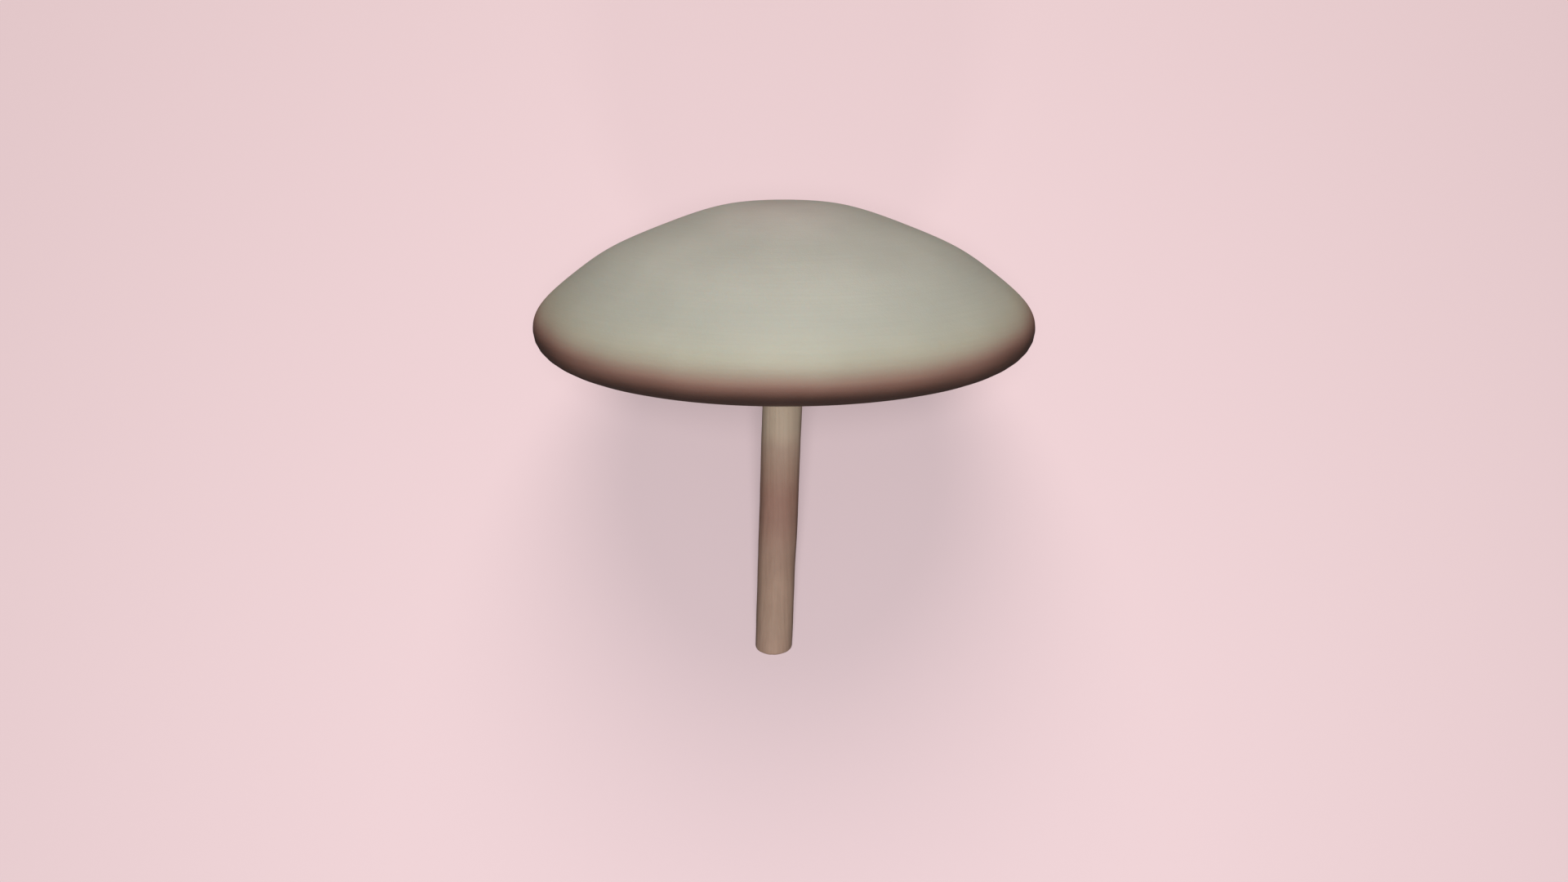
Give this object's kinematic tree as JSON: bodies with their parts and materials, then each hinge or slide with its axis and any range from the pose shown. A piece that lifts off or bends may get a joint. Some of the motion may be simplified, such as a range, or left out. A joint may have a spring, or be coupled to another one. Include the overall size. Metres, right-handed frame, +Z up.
{
  "type": "king oyster mushroom",
  "caption": "Picked mushroom lying on its side: a broad domed cap with a rolled margin, gills beneath it and a long thin cut stem.",
  "frame": {"origin": "middle of the footprint on the surface that the mushroom lies on", "axes": "+Z up; +X across the cap's full width; the stem's cut end points towards -Y and the crown towards +Y and up"},
  "size_m": [0.11, 0.1046, 0.0916],
  "materials": {
    "mushroom_flesh": "satin"
  },
  "bodies": {
    "root": {"mushroom": "mushroom_flesh"}
  },
  "joints": []
}
